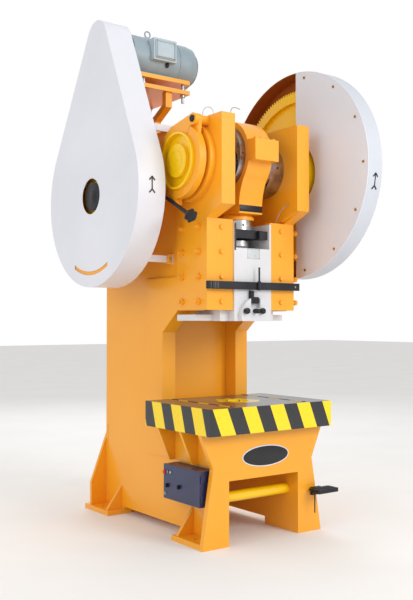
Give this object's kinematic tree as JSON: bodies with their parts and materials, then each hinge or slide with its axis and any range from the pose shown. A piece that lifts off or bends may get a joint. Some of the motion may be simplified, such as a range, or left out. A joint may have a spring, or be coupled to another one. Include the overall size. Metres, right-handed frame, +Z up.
{
  "type": "mechanical stamping press",
  "caption": "C-frame power press with a belt-driven flywheel, an open bull gear, a crank-driven ram, a T-slotted bolster and sheet guards.",
  "frame": {"origin": "centre of the four anchor holes, at floor level", "axes": "+Z up, -Y towards the operator, +X towards the gear side"},
  "size_m": [1.37, 2.0029, 3.4419],
  "materials": {
    "frame_enamel": "orange-yellow gloss enamel",
    "guard_white": "white gloss enamel on sheet steel",
    "ram_white": "white enamel",
    "gear_yellow": "bright yellow enamel",
    "black_steel": "black oxide",
    "bare_steel": "turned and ground steel",
    "bolster_steel": "ground steel plate, sides painted in stripes",
    "bronze": "cast bronze",
    "navy_enamel": "navy enamel",
    "motor_enamel": "grey-blue enamel",
    "belt_rubber": "black rubber",
    "red_plastic": "red gloss plastic",
    "black_plastic": "black plastic",
    "zinc_steel": "zinc plated"
  },
  "bodies": {
    "root": {"back_plate": "frame_enamel", "bed_ribs_left": "frame_enamel", "bed_ribs_right": "frame_enamel", "bed_top_plate": "frame_enamel", "belt_guard": "guard_white", "bolster": "bolster_steel", "brake_jaw_rear": "frame_enamel", "brake_pin": "frame_enamel", "brake_rod": "black_steel", "bush_left": "bronze", "bush_right": "bronze", "control_box": "navy_enamel", "foot_front_left": "frame_enamel", "foot_front_right": "frame_enamel", "foot_rear_left": "frame_enamel", "foot_rear_right": "frame_enamel", "frame_side_left": "frame_enamel", "frame_side_right": "frame_enamel", "front_bed_plate": "frame_enamel", "gear_guard": "guard_white", "gear_guard_cover": "guard_white", "guard_rails": "guard_white", "guide_bolts_left": "frame_enamel", "guide_bolts_right": "frame_enamel", "head_web": "frame_enamel", "knockout_bar": "black_steel", "lube_lines": "zinc_steel", "motor_cowl": "motor_enamel", "motor_housing": "motor_enamel", "motor_plate": "frame_enamel", "motor_stand": "frame_enamel", "pedal_bracket": "black_steel", "ram_guide_left": "frame_enamel", "ram_guide_right": "frame_enamel", "tension_studs": "zinc_steel", "terminal_box": "motor_enamel", "tie_tube": "gear_yellow", "v_belts": "belt_rubber"},
    "flywheel": {"flywheel": "gear_yellow", "back_shaft": "bare_steel", "pinion": "gear_yellow"},
    "motor_rotor": {"motor_pulley": "bare_steel"},
    "gear": {"bull_gear": "gear_yellow"},
    "crank": {"crankshaft": "bare_steel", "brake_drum": "gear_yellow"},
    "slide": {"ram": "ram_white", "ram_flange": "ram_white", "shank_clamp": "ram_white", "connecting_rod": "frame_enamel", "eccentric_sleeve": "bare_steel", "sleeve_ring_nut": "bare_steel", "adjusting_screw": "bare_steel", "lock_clamp": "black_steel"},
    "knockout": {"knockout_block": "black_steel"},
    "brake_front": {"brake_jaw_front": "frame_enamel"},
    "door": {"box_door": "navy_enamel"},
    "button": {"push_button": "red_plastic"},
    "knob_left": {"selector_left": "black_plastic"},
    "knob_right": {"selector_right": "black_plastic"},
    "pedal": {"foot_pedal": "black_steel"}
  },
  "joints": [
    {"name": "flywheel_spin", "type": "hinge", "parent": "root", "child": "flywheel", "pos_m": [0, 0.19, 2.24343], "axis": [1, 0, 0], "continuous": true},
    {"name": "gear_spin", "type": "hinge", "parent": "root", "child": "gear", "pos_m": [0, -0.468, 2.415], "axis": [1, 0, 0], "continuous": true},
    {"name": "motor_spin", "type": "hinge", "parent": "root", "child": "motor_rotor", "pos_m": [0, 0.12, 3.223], "axis": [1, 0, 0], "continuous": true},
    {"name": "crank_turn", "type": "hinge", "parent": "root", "child": "crank", "pos_m": [0, -0.468, 2.415], "axis": [1, 0, 0], "range_deg": [0, 180]},
    {"name": "ram_slide", "type": "slide", "parent": "root", "child": "slide", "axis": [0, 0, 1], "range_m": [-0.12, 0]},
    {"name": "knockout_slide", "type": "slide", "parent": "slide", "child": "knockout", "axis": [0, 0, 1], "range_m": [-0.02, 0]},
    {"name": "brake_open", "type": "hinge", "parent": "root", "child": "brake_front", "pos_m": [0, -0.628, 2.657], "axis": [-1, 0, 0], "range_deg": [0, 2], "stiffness_Nm_per_rad": 20000},
    {"name": "door_swing", "type": "hinge", "parent": "root", "child": "door", "pos_m": [-0.459, -0.695, 0.36], "axis": [0, 0, 1], "range_deg": [0, 110]},
    {"name": "button_push", "type": "slide", "parent": "door", "child": "button", "axis": [1, 0, 0], "range_m": [0, 0.004], "stiffness_N_per_m": 900},
    {"name": "selector_left_turn", "type": "hinge", "parent": "door", "child": "knob_left", "pos_m": [-0.4693, -0.338, 0.337], "axis": [1, 0, 0], "range_deg": [-45, 45]},
    {"name": "selector_right_turn", "type": "hinge", "parent": "door", "child": "knob_right", "pos_m": [-0.4693, -0.47, 0.345], "axis": [1, 0, 0], "range_deg": [-45, 45]},
    {"name": "pedal_press", "type": "hinge", "parent": "root", "child": "pedal", "pos_m": [0.435, -0.78, 0.265], "axis": [1, 0, 0], "range_deg": [0, 10], "stiffness_Nm_per_rad": 60, "springref_deg": -11.46}
  ],
  "couplings": [
    {"joint": "gear_spin", "follows": "flywheel_spin", "ratio": -0.14865},
    {"joint": "motor_spin", "follows": "flywheel_spin", "ratio": 5.4737},
    {"joint": "ram_slide", "follows": "crank_turn", "m_per_rad": -0.038197}
  ]
}
